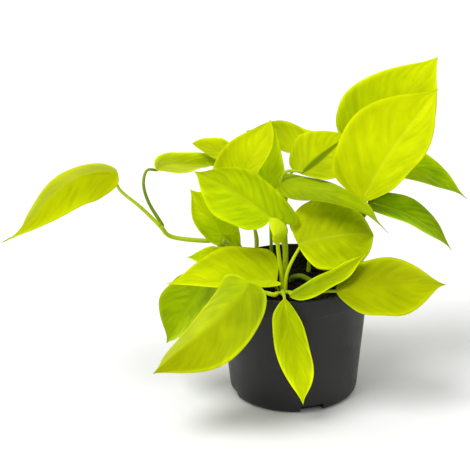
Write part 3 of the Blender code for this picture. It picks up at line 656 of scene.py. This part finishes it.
def blade_shell(leaf):
    """Points and faces of a thin blade, and the shares along and out of each point."""
    top, along_of, out_of = blade_surface(leaf)
    normals = surface_normals(top, midrib(leaf)[1])
    thick = MARGIN_THICKNESS + (BLADE_THICKNESS - MARGIN_THICKNESS) * (1 - np.abs(out_of) ** 3)
    low = top - normals * thick[..., None]
    wide = 2 * BLADE_COLUMNS + 1
    rows = BLADE_ROWS
    points = [*top[1:rows].reshape(-1, 3), *low[1:rows].reshape(-1, 3)]
    ends = len(points)
    for row in (0, rows):
        points += [top[row, BLADE_COLUMNS], low[row, BLADE_COLUMNS]]
    shares = [*zip(along_of[1:rows].ravel(), out_of[1:rows].ravel())] * 2
    shares += [(0.0, 0.0), (0.0, 0.0), (1.0, 0.0), (1.0, 0.0)]

    faces = []

    def number(row, column, under):
        if row in (0, rows):
            return ends + (2 if row else 0) + under
        return ((rows - 1) * under + row - 1) * wide + column

    def add_face(spots, turned_over):
        corners = list(dict.fromkeys(number(*spot) for spot in spots))
        faces.append(corners[::-1] if turned_over else corners)

    for row in range(rows):
        after = row + 1
        for column in range(wide - 1):
            beside = column + 1
            for side in (0, 1):
                add_face([(row, column, side), (row, beside, side),
                          (after, beside, side), (after, column, side)], side)
        for column in (0, wide - 1):
            add_face([(row, column, 0), (after, column, 0),
                      (after, column, 1), (row, column, 1)], column)
    return points, faces, np.array(shares, float)


def stalk_shell(leaf):
    """Points of a stalk that runs on as the rib, and the faces of the stalk and of the rib."""
    route = stalk_route(leaf)
    stalk = curve_through(route[1:] + rib_points(leaf), STALK_POINTS)
    run = np.concatenate([[0.0], np.cumsum(np.linalg.norm(np.diff(stalk, axis=0), axis=1))])
    end_at = run[np.argmin(np.linalg.norm(stalk - route[-1], axis=1))]
    start = leaf.get("thick", STALK_RADIUS)
    seat = start * ROOT_FLARE
    if "joint" in leaf:
        name, share = leaf["joint"]
        seat = stem_radius(STEMS[name], share) * (1.0 if share >= 1.0 else SIDE_SEAT)
    radii = [seat]
    for place in run:
        if place <= end_at:
            share = place / max(end_at, 1e-6)
            flare = (seat / start - 1) * math.exp(-place / FLARE_REACH)
            radii.append((start + (STALK_TIP_RADIUS - start) * share) * (1 + flare))
        else:
            rest = 1 - (place - end_at) / (run[-1] - end_at)
            radii.append(RIB_RADIUS * rest ** 0.9 + RIB_TIP_RADIUS + 0.05 * rest)
    spread = np.ones(len(radii))
    if "sheath" in leaf:
        middle, reach, width = leaf["sheath"]
        from_middle = run - run[np.argmin(np.linalg.norm(stalk - middle, axis=1))]
        swell = np.clip(1 - (from_middle / reach) ** 2, 0, 1) ** SHEATH_POWER
        spread[1:] += (width - 1.0) * swell
    out_side = midrib(leaf)[1] + np.array([0.01, -0.02, 0.0])
    points, faces = tube(np.vstack([route[0], stalk]), radii, out_side, GROOVE_DEPTH, spread)
    bare = 1 + (1 + int(np.sum(run <= end_at))) * STALK_SIDES
    return points, faces[:bare], faces[bare:]


def leaf_piece(name, leaf, blade_look, stalk_look):
    """A fine leaf: a thin blade with veins, and its stalk that runs on as the rib beneath."""
    blade_points, blade_faces, shares = blade_shell(leaf)
    stalk_points, bare_faces, rib_faces = stalk_shell(leaf)
    mesh = joined_mesh(name + "_fine", [
        (blade_points, blade_faces, 0), (stalk_points, bare_faces, 1), (stalk_points, rib_faces, 0),
    ])
    layer = mesh.uv_layers.new(name="leaf")
    corners = sum(len(face) for face in blade_faces)
    values = np.full((len(mesh.loops), 2), 0.5)
    picked = np.array([loop.vertex_index for loop in mesh.loops])[:corners]
    values[:corners, 0] = shares[picked, 0]
    values[:corners, 1] = 0.5 + 0.5 * shares[picked, 1]
    layer.data.foreach_set("uv", values.ravel())
    work = bmesh.new()
    work.from_mesh(mesh)
    bmesh.ops.recalc_face_normals(work, faces=work.faces)
    work.to_mesh(mesh)
    work.free()
    mesh.materials.append(blade_look)
    mesh.materials.append(stalk_look)
    made = placed(name + "_fine", mesh)
    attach(made, "root")
    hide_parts(name)


def stem_piece(name, stem, look):
    """A fine stem, a little thicker where the stalks leave it."""
    middle = np.vstack([stem["route"][0], curve_through(stem["route"][1:], STALK_POINTS)])
    whole = curve_through(stem["route"], STEM_STEPS + 1)
    joints = [leaf["joint"] for leaf in LEAVES.values() if "joint" in leaf]
    sides = [share for owner, share in joints if owner == name and share < 1.0]
    radii = []
    for point in middle:
        share = np.argmin(np.linalg.norm(whole - point, axis=1)) / STEM_STEPS
        swell = sum(math.exp(-((share - side) / SWELL_REACH) ** 2) for side in sides)
        radii.append(stem_radius(stem, share) * (1 + STEM_SWELL * min(swell, 1.0)))
    points, faces = tube(middle, radii, (0.3, -0.9, 0.3))
    mesh = joined_mesh(name + "_fine", [(points, faces, 0)])
    mesh.materials.append(look)
    made = placed(name + "_fine", mesh)
    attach(made, "root")
    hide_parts(name)


def turned(profile, sides):
    """Points and faces of a solid turned about Z; the profile starts and ends on the axis."""
    points = [(0.0, 0.0, profile[0][1])]
    rings = profile[1:-1]
    for radius, height in rings:
        for side in range(sides):
            angle = 2 * math.pi * side / sides
            points.append((radius * math.cos(angle), radius * math.sin(angle), height))
    points.append((0.0, 0.0, profile[-1][1]))
    last = len(points) - 1
    faces = []
    for side in range(sides):
        after = (side + 1) % sides
        faces.append([0, 1 + after, 1 + side])
        for ring in range(len(rings) - 1):
            low = 1 + ring * sides
            high = low + sides
            faces.append([low + side, low + after, high + after, high + side])
        top = 1 + (len(rings) - 1) * sides
        faces.append([last, top + side, top + after])
    return points, faces


def notch_box(name, turn, near, far, width, low, high):
    """A box across the pot's wall at one notch, from the near to the far radius."""
    cosine = math.cos(math.radians(turn))
    sine = math.sin(math.radians(turn))
    points = []
    for height in (low, high):
        for out, along in ((near, -1), (far, -1), (far, 1), (near, 1)):
            side = along * width / 2
            points.append((out * cosine - side * sine, out * sine + side * cosine, height))
    faces = [[3, 2, 1, 0], [4, 5, 6, 7], [0, 1, 5, 4], [1, 2, 6, 5], [2, 3, 7, 6], [3, 0, 4, 7]]
    return placed(name, joined_mesh(name, [(points, faces, 0)]))


def combine(item, tools, operation):
    """Join the tools to the item, or cut them out of it, in one step."""
    group = bpy.data.collections.new(item.name + "_tools")
    bpy.context.scene.collection.children.link(group)
    for tool in tools:
        for owner in list(tool.users_collection):
            owner.objects.unlink(tool)
        group.objects.link(tool)
    step = item.modifiers.new("combine", "BOOLEAN")
    step.operation = operation
    step.operand_type = "COLLECTION"
    step.collection = group
    step.solver = "EXACT"
    bpy.context.view_layer.update()
    seen = item.evaluated_get(bpy.context.evaluated_depsgraph_get())
    mesh = bpy.data.meshes.new_from_object(seen)
    item.modifiers.clear()
    item.data = mesh
    for tool in tools:
        bpy.data.objects.remove(tool, do_unlink=True)
    bpy.data.collections.remove(group)


def arc(centre, radius, start, end, count):
    """Points of a profile's rounded corner, angles in degrees."""
    points = []
    for angle in np.radians(np.linspace(start, end, count)):
        x = centre[0] + radius * math.cos(angle)
        points.append((x, centre[1] + radius * math.sin(angle)))
    return points


def pot_profile():
    """Outline of the pot's wall and floor: rounded foot, tapered side, rim band and inside."""
    rim, neck, foot, flat = POT_RIM_RADIUS, POT_NECK_RADIUS, POT_FOOT_RADIUS, POT_FLAT_RADIUS
    low, top, step = POT_BAND_LOW, POT_HEIGHT, POT_FOOT_HEIGHT
    corner = [(flat, 0), (flat + 2.6, 0.7), (foot - 0.7, 2.6), (foot, step)]
    profile = [(0, 0)] + [tuple(point) for point in curve_through(corner, 12)]
    for i in range(1, 8):
        profile.append((foot + (neck - foot) * i / 8, step + (low - step) * i / 8))
    profile += [(neck, low - 0.3), (neck + 0.15, low)]
    profile += arc((rim - BAND_ROUNDING, low + BAND_ROUNDING), BAND_ROUNDING, -80, 0, 6)
    profile += [(rim, low + 6)]
    profile += arc((rim - RIM_ROUNDING, top - RIM_ROUNDING), RIM_ROUNDING, 0, 180, 12)
    return profile + [
        (rim - 1.9, top - 2.0), (neck - POT_WALL + 0.9, low + 0.5), (neck - POT_WALL, low - 0.8),
        (foot - POT_WALL, 6.0), (foot - POT_WALL - 1.4, 3.2), (flat, POT_FLOOR), (0, POT_FLOOR),
    ]


def pot_piece(look):
    """The pot, with walled notches cut into its foot."""
    points, faces = turned(pot_profile(), POT_SIDES)
    pot = placed("pot_fine", joined_mesh("pot_fine", [(points, faces, 0)]))
    blocks = []
    cutters = []
    for i in range(NOTCH_COUNT):
        turn = NOTCH_TURN + 360.0 / NOTCH_COUNT * i
        inner = POT_FOOT_RADIUS - NOTCH_DEPTH
        blocks.append(notch_box(
            "block_%d" % i, turn, inner - NOTCH_WALL, POT_FOOT_RADIUS - BLOCK_INSET,
            NOTCH_WIDTH + 2 * NOTCH_WALL, BLOCK_LOW, NOTCH_HEIGHT + NOTCH_WALL))
        cutters.append(notch_box(
            "notch_%d" % i, turn, inner, POT_FOOT_RADIUS + CUT_OUTWARD,
            NOTCH_WIDTH, -CUT_BELOW, NOTCH_HEIGHT))
    combine(pot, blocks, "UNION")
    combine(pot, cutters, "DIFFERENCE")
    pot.data.shade_smooth()
    pot.data.set_sharp_from_angle(angle=math.radians(SHARP_ANGLE))
    pot.data.materials.clear()
    pot.data.materials.append(look)
    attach(pot, "root")
    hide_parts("pot")


def soil_height(x, y):
    """Height of the lumpy soil at a place, in millimetres."""
    breadth, swell = SOIL_SWELL
    size, lump = SOIL_LUMPS
    broad = noise.noise(Vector((x / breadth, y / breadth, 3.1)))
    lumps = noise.fractal(Vector((x / size, y / size, 7.7)), 0.7, 2.0, 4)
    return SOIL_TOP + swell * broad + lump * lumps - 0.5


def add_crumb(draw, ball, reach_limit, points, faces):
    """One lumpy crumb somewhere on the soil, made from the points and faces of a ball."""
    ball_points, ball_faces = ball
    reach = reach_limit * math.sqrt(draw.random())
    angle = draw.uniform(0, 2 * math.pi)
    x, y = reach * math.cos(angle), reach * math.sin(angle)
    size = draw.uniform(*(SMALL_CRUMBS if draw.random() < SMALL_SHARE else LARGE_CRUMBS))
    stretch = [draw.uniform(*ends) for ends in CRUMB_STRETCH]
    spin = Matrix.Rotation(draw.uniform(0, 6.28), 3, "Z")
    turn = np.array(spin @ Matrix.Rotation(draw.uniform(-CRUMB_TILT, CRUMB_TILT), 3, "X"))
    shift = Vector((draw.uniform(0, 99), draw.uniform(0, 99), 0))
    beat, depth = CRUMB_LUMPS
    lumpy = [1 + depth * noise.noise(Vector(point) * beat + shift) for point in ball_points]
    shaped = (ball_points * np.array(lumpy)[:, None] * (np.array(stretch) * size)) @ turn.T
    start = len(points)
    points.extend(shaped + np.array([x, y, soil_height(x, y) + CRUMB_RISE * size]))
    faces.extend([[start + corner for corner in face] for face in ball_faces])


def soil_piece(look, crumb_look):
    """The soil: a lumpy top over a plain filling, with crumbs of bark and peat on it."""
    low = POT_BAND_LOW
    inner_neck = POT_NECK_RADIUS - POT_WALL - SEAT_GAP
    inner_foot = POT_FOOT_RADIUS - POT_WALL - SEAT_GAP - NOTCH_DEPTH
    profile = [(0, SOIL_BOTTOM), (inner_foot, SOIL_BOTTOM)]
    profile += [(inner_neck, low - 0.8), (inner_neck + 0.8, low + 0.5)]
    rings = [(inner_neck + 0.9) * (1 - i / SOIL_RINGS) for i in range(SOIL_RINGS)]
    profile += [(radius, SOIL_TOP) for radius in rings] + [(0, SOIL_TOP)]
    points, faces = turned(profile, SOIL_SIDES)
    points = [(x, y, soil_height(x, y) if z >= SOIL_TOP else z) for x, y, z in points]
    draw = random.Random(CRUMB_SEED)
    work = bmesh.new()
    bmesh.ops.create_icosphere(work, subdivisions=2, radius=1.0)
    ball_points = np.array([vert.co[:] for vert in work.verts])
    ball = (ball_points, [[vert.index for vert in face.verts] for face in work.faces])
    work.free()
    crumb_points = []
    crumb_faces = []
    for _ in range(CRUMB_COUNT):
        add_crumb(draw, ball, inner_neck - 1.5, crumb_points, crumb_faces)
    mesh = joined_mesh("soil_fine", [(points, faces, 0), (crumb_points, crumb_faces, 1)])
    mesh.materials.append(look)
    mesh.materials.append(crumb_look)
    soil = placed("soil_fine", mesh)
    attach(soil, "root")
    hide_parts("soil")


class Look:
    """A material and short ways to add its nodes."""

    def __init__(self, name, roughness, specular):
        self.material = bpy.data.materials.new(name)
        self.material.use_nodes = True
        self.tree = self.material.node_tree
        self.shader = self.tree.nodes["Principled BSDF"]
        self.give("Roughness", roughness)
        self.give("Specular IOR Level", specular)

    def put(self, socket, value):
        """Set a socket from a number, a colour or another socket."""
        if isinstance(value, bpy.types.NodeSocket):
            self.tree.links.new(value, socket)
        elif socket.type == "RGBA":
            socket.default_value = (*value, 1.0)
        else:
            socket.default_value = value

    def give(self, name, value):
        """Set one of the shader's own sockets."""
        self.put(self.shader.inputs[name], value)

    def step(self, operation, first, second=0.0, clamp=False):
        """The result of one arithmetic step."""
        node = self.tree.nodes.new("ShaderNodeMath")
        node.operation = operation
        node.use_clamp = clamp
        self.put(node.inputs[0], first)
        self.put(node.inputs[1], second)
        return node.outputs[0]

    def add(self, first, second, clamp=False):
        """The sum of two values."""
        return self.step("ADD", first, second, clamp)

    def times(self, first, second):
        """The product of two values."""
        return self.step("MULTIPLY", first, second)

    def swing(self, value, share):
        """A value around 0.5, brought around 0 and scaled."""
        return self.times(self.step("SUBTRACT", value, 0.5), share)

    def ramp(self, value, low, high, start=0.0, end=1.0):
        """A smooth step of the value from start to end between low and high."""
        node = self.tree.nodes.new("ShaderNodeMapRange")
        node.interpolation_type = "SMOOTHSTEP"
        names = ("Value", "From Min", "From Max", "To Min", "To Max")
        for name, number in zip(names, (value, low, high, start, end)):
            self.put(node.inputs[name], number)
        return node.outputs[0]

    def mix(self, factor, first, second):
        """A blend of two colours."""
        node = self.tree.nodes.new("ShaderNodeMix")
        node.data_type = "RGBA"
        self.put(node.inputs[0], factor)
        self.put(node.inputs[6], first)
        self.put(node.inputs[7], second)
        return node.outputs[2]

    def cloudy(self, place, scale, detail, roughness=0.5):
        """Cloudy noise at a place, between 0 and 1."""
        node = self.tree.nodes.new("ShaderNodeTexNoise")
        node.inputs["Scale"].default_value = scale
        node.inputs["Detail"].default_value = detail
        node.inputs["Roughness"].default_value = roughness
        self.tree.links.new(place, node.inputs["Vector"])
        return node.outputs[0]

    def noise(self, scale, detail=3.0, stretch=(1, 1, 1), roughness=0.55):
        """Cloudy noise in the object's own place, between 0 and 1."""
        place = self.tree.nodes.new("ShaderNodeTexCoord").outputs["Object"]
        mapping = self.tree.nodes.new("ShaderNodeMapping")
        mapping.inputs["Scale"].default_value = stretch
        self.tree.links.new(place, mapping.inputs["Vector"])
        return self.cloudy(mapping.outputs[0], scale, detail, roughness)

    def bump(self, height, strength, distance):
        """Fine relief on the surface."""
        node = self.tree.nodes.new("ShaderNodeBump")
        node.inputs["Strength"].default_value = strength
        node.inputs["Distance"].default_value = distance
        self.put(node.inputs["Height"], height)
        self.give("Normal", node.outputs[0])

    def living(self, tint):
        """The glint and the faint inner glow of living green."""
        self.give("Specular Tint", tint)
        self.give("Subsurface Weight", 0.1)
        self.give("Subsurface Radius", (0.9, 1.0, 0.1))
        self.give("Subsurface Scale", 0.0015)


def leaf_look(name, values, shift):
    """Waxy lime blade: paler rib, swept side veins and cloudy mottling, with painted light and
    shade on its halves, margins, tip and base, and painted shade along a creased rib.
    """
    tone_base, tone_tip, left_painted_light, right_painted_light, left_rim_painted_light, right_rim_painted_light = values[:6]
    tip_painted_light, rib_share, margin_painted_highlight, base_painted_shade = values[6:]
    look = Look(name, 0.5, LEAF_GLOSS)
    look.living((0.9, 1.0, 0.1))
    picked = look.tree.nodes.new("ShaderNodeUVMap")
    picked.uv_map = "leaf"
    split = look.tree.nodes.new("ShaderNodeSeparateXYZ")
    look.tree.links.new(picked.outputs[0], split.inputs[0])
    along, across = split.outputs[0], split.outputs[1]
    signed = look.add(look.times(across, 2.0), -1.0)
    out = look.step("ABSOLUTE", signed)

    # Side veins: a ripple whose beats differ by half on the two sides of the rib
    swept = look.times(look.step("POWER", out, VEIN_BEND), VEIN_SWEEP)
    wobble = look.times(look.noise(60.0, 2.0), VEIN_WOBBLE)
    vein = look.add(look.step("SUBTRACT", along, swept), wobble)
    left_beat = look.ramp(signed, -0.001, 0.001, 0.5, 0.0)
    phase = look.add(look.times(vein, VEIN_COUNT), left_beat)
    inner = look.ramp(out, *VEIN_RANGE)
    faint = look.ramp(look.noise(45.0, 2.0), 0.35, 0.65, 0.1, 1.0)
    ripple = look.times(look.step("COSINE", look.times(phase, 2 * math.pi)), inner)
    ripple = look.times(ripple, faint)
    place = look.tree.nodes.new("ShaderNodeCombineXYZ")
    look.put(place.inputs[0], look.times(vein, STREAK_COUNT))
    look.put(place.inputs[1], look.times(signed, STREAKS_ACROSS))
    place.inputs[2].default_value = STREAK_STEP * shift
    streak = look.swing(look.cloudy(place.outputs[0], 1.0, 2.0), inner)

    # Tone, from mid green to yellow green, with a painted highlight towards the margin, and the
    # pale rib or painted shade along its crease
    tone = look.ramp(along, 0.0, 1.0, tone_base, tone_tip)
    tone = look.add(tone, look.swing(look.noise(CLOUD_SCALE + shift), CLOUD_TONE))
    tone = look.add(tone, look.times(streak, STREAK_TONE))
    tone = look.add(tone, look.times(ripple, RIPPLE_TONE))
    # painted highlight: the blade turns yellower towards its margin
    tone = look.add(tone, look.ramp(out, 0.8, 1.0, 0.0, MARGIN_HIGHLIGHT_TONE), clamp=True)
    # a rib share below 0 paints shade along the rib's crease instead of a pale rib
    fade_from, fade_to, rib_colour = PALE_RIB if rib_share >= 0 else RIB_CREASE_SHADE
    rib = look.times(look.ramp(out, fade_from, fade_to, 1.0, 0.0), abs(rib_share))
    colour = look.mix(rib, look.mix(tone, GREEN, YELLOW), rib_colour)

    # Painted light and shade: each half brighter or darker, painted light towards its
    # margins, a painted highlight on the very margin, painted shade at the base and painted
    # light gaining towards the tip, over cloudy patches and streaks
    rim_light_mask = look.ramp(out, *RIM_LIGHT_RANGE)
    left_light = look.add(look.times(rim_light_mask, left_rim_painted_light), left_painted_light)
    right_light = look.add(look.times(rim_light_mask, right_rim_painted_light), right_painted_light)
    side = look.ramp(signed, *HALF_LIGHT_RANGE)
    gap = look.times(look.step("SUBTRACT", right_light, left_light), side)
    light = look.add(left_light, gap)
    # painted highlight along the very margin
    light = look.add(light, look.ramp(out, *MARGIN_HIGHLIGHT_RANGE, 0.0, margin_painted_highlight))
    # painted shade towards the base
    light = look.times(light, look.ramp(along, *SHADE_RANGE, 1.0 - base_painted_shade, 1.0))
    patches = look.swing(look.noise(PATCH_SCALE + shift, 2.0), PATCH_LIGHT)
    patches = look.add(patches, look.times(streak, STREAK_LIGHT))
    light = look.times(light, look.add(patches, 1.0))
    # painted light gaining towards the tip
    light = look.times(light, look.ramp(along, 0.0, 1.0, 1.0 - tip_painted_light, 1.0 + tip_painted_light))
    scaled = look.tree.nodes.new("ShaderNodeVectorMath")
    scaled.operation = "SCALE"
    look.put(scaled.inputs[0], colour)
    look.put(scaled.inputs["Scale"], light)
    look.give("Base Color", scaled.outputs[0])

    # Surface
    look.give("Roughness", look.ramp(look.noise(240.0, 2.0), 0.3, 0.7, 0.45, 0.56))
    relief = look.add(look.times(ripple, 0.4), look.times(look.noise(420.0), 0.25))
    relief = look.step("SUBTRACT", relief, look.ramp(out, 0.015, 0.05, 0.8, 0.0))
    look.bump(relief, 0.4, FINE_RELIEF)
    return look.material


def stalk_look(name):
    """Smooth stalk with faint long streaks."""
    first, second, roughness = SKINS[name]
    look = Look(name, roughness, STALK_GLOSS)
    look.living((0.9, 1.0, 0.3))
    streaks = look.ramp(look.noise(90.0, 3.0, (1, 1, 0.25)), 0.35, 0.65)
    look.give("Base Color", look.mix(streaks, first, second))
    look.bump(look.noise(500.0, 2.0, (1, 1, 0.2)), 0.25, FINE_RELIEF)
    return look.material


def pot_look():
    """Charcoal moulded plastic: faint mottling, fine grain and a little dust."""
    look = Look("charcoal_plastic", 0.45, 0.25)
    cloud = look.ramp(look.noise(35.0, 4.0), 0.3, 0.7)
    colour = look.mix(cloud, (0.0150, 0.0157, 0.0142), (0.0205, 0.0212, 0.0193))
    dust = look.ramp(look.noise(260.0, 5.0), 0.55, 0.8, 0.0, 0.35)
    look.give("Base Color", look.mix(dust, colour, (0.033, 0.032, 0.029)))
    look.give("Roughness", look.ramp(look.noise(70.0, 4.0), 0.3, 0.7, 0.38, 0.52))
    look.bump(look.noise(900.0), 0.18, FINE_RELIEF)
    return look.material


def soil_look(name, dark, light):
    """Dark crumbly potting mix."""
    look = Look(name, 0.95, 0.15)
    grains = look.ramp(look.noise(420.0, 6.0, roughness=0.7), 0.4, 0.75)
    look.give("Base Color", look.mix(grains, dark, light))
    look.bump(look.noise(700.0, 6.0, roughness=0.7), 0.9, SOIL_RELIEF)
    return look.material


def make_camera():
    """The photograph's view, turned a little about the line of sight."""
    rise = math.radians(CAMERA_ELEVATION)
    roll = math.radians(CAMERA_ROLL)
    back = np.array([0.0, -math.cos(rise), math.sin(rise)])
    flat_right = np.array([1.0, 0.0, 0.0])
    flat_up = np.array([0.0, math.sin(rise), math.cos(rise)])
    right = math.cos(roll) * flat_right - math.sin(roll) * flat_up
    up = math.sin(roll) * flat_right + math.cos(roll) * flat_up
    eye = (np.array(CAMERA_TARGET) + back * CAMERA_DISTANCE) * MM
    data = bpy.data.cameras.new("camera")
    data.lens = CAMERA_LENS
    data.sensor_width = CAMERA_SENSOR
    data.clip_start, data.clip_end = CAMERA_CLIP
    camera = placed("camera", data)
    turn = Matrix((right, up, back)).transposed().to_4x4()
    turn.translation = Vector(eye)
    camera.matrix_world = turn
    bpy.context.scene.camera = camera


def aimed(name, data, place, aim):
    """A light at a place that looks at a point."""
    light = placed(name, data)
    light.location = place
    light.rotation_mode = "QUATERNION"
    light.rotation_quaternion = (Vector(aim) - Vector(place)).to_track_quat("-Z", "Y")


def make_studio():
    """White floor, bright surroundings, a soft sun from the upper left and a side light."""
    mesh = bpy.data.meshes.new("floor")
    sides = ((-1, -1), (1, -1), (1, 1), (-1, 1))
    corners = [(x * FLOOR_REACH, y * FLOOR_REACH, FLOOR_HEIGHT) for x, y in sides]
    mesh.from_pydata(corners, [], [(0, 1, 2, 3)])
    paper = Look("white_paper", 0.8, 0.1)
    tint = paper.mix(paper.noise(3.0, 2.0), (0.88, 0.88, 0.875), (0.9, 0.9, 0.9))
    paper.give("Base Color", tint)
    mesh.materials.append(paper.material)
    floor = placed("floor", mesh)
    world = bpy.data.worlds.new("studio")
    world.use_nodes = True
    background = world.node_tree.nodes["Background"]
    background.inputs["Color"].default_value = (1.0, 1.0, 1.0, 1.0)
    background.inputs["Strength"].default_value = SURROUNDINGS
    bpy.context.scene.world = world
    key = bpy.data.lights.new("key", "SUN")
    key.angle = math.radians(KEY_SOFTNESS)
    key.energy = KEY_STRENGTH
    aimed("key", key, KEY_PLACE, KEY_AIM)
    side = bpy.data.lights.new("side", "AREA")
    side.shape = "SQUARE"
    side.size = SIDE_SIZE
    side.energy = SIDE_POWER
    aimed("side", side, SIDE_PLACE, SIDE_AIM)


def build():
    """Make the pieces, the studio and the camera."""
    bpy.context.scene.view_settings.view_transform = "Standard"
    make_camera()
    make_studio()
    skins = {name: stalk_look(name) for name in SKINS}
    pot_piece(pot_look())
    dark = soil_look("dark_soil", (0.004, 0.003, 0.003), (0.016, 0.012, 0.009))
    bark = soil_look("bark_crumbs", (0.006, 0.005, 0.004), (0.035, 0.024, 0.015))
    soil_piece(dark, bark)
    for name, stem in STEMS.items():
        stem_piece(name, stem, skins[stem["skin"]])
    for i, (name, leaf) in enumerate(LEAVES.items()):
        blade = leaf_look("lime_" + name[5:], leaf["look"], i)
        leaf_piece(name, leaf, blade, skins[leaf.get("skin", "lime_stalk")])


build()
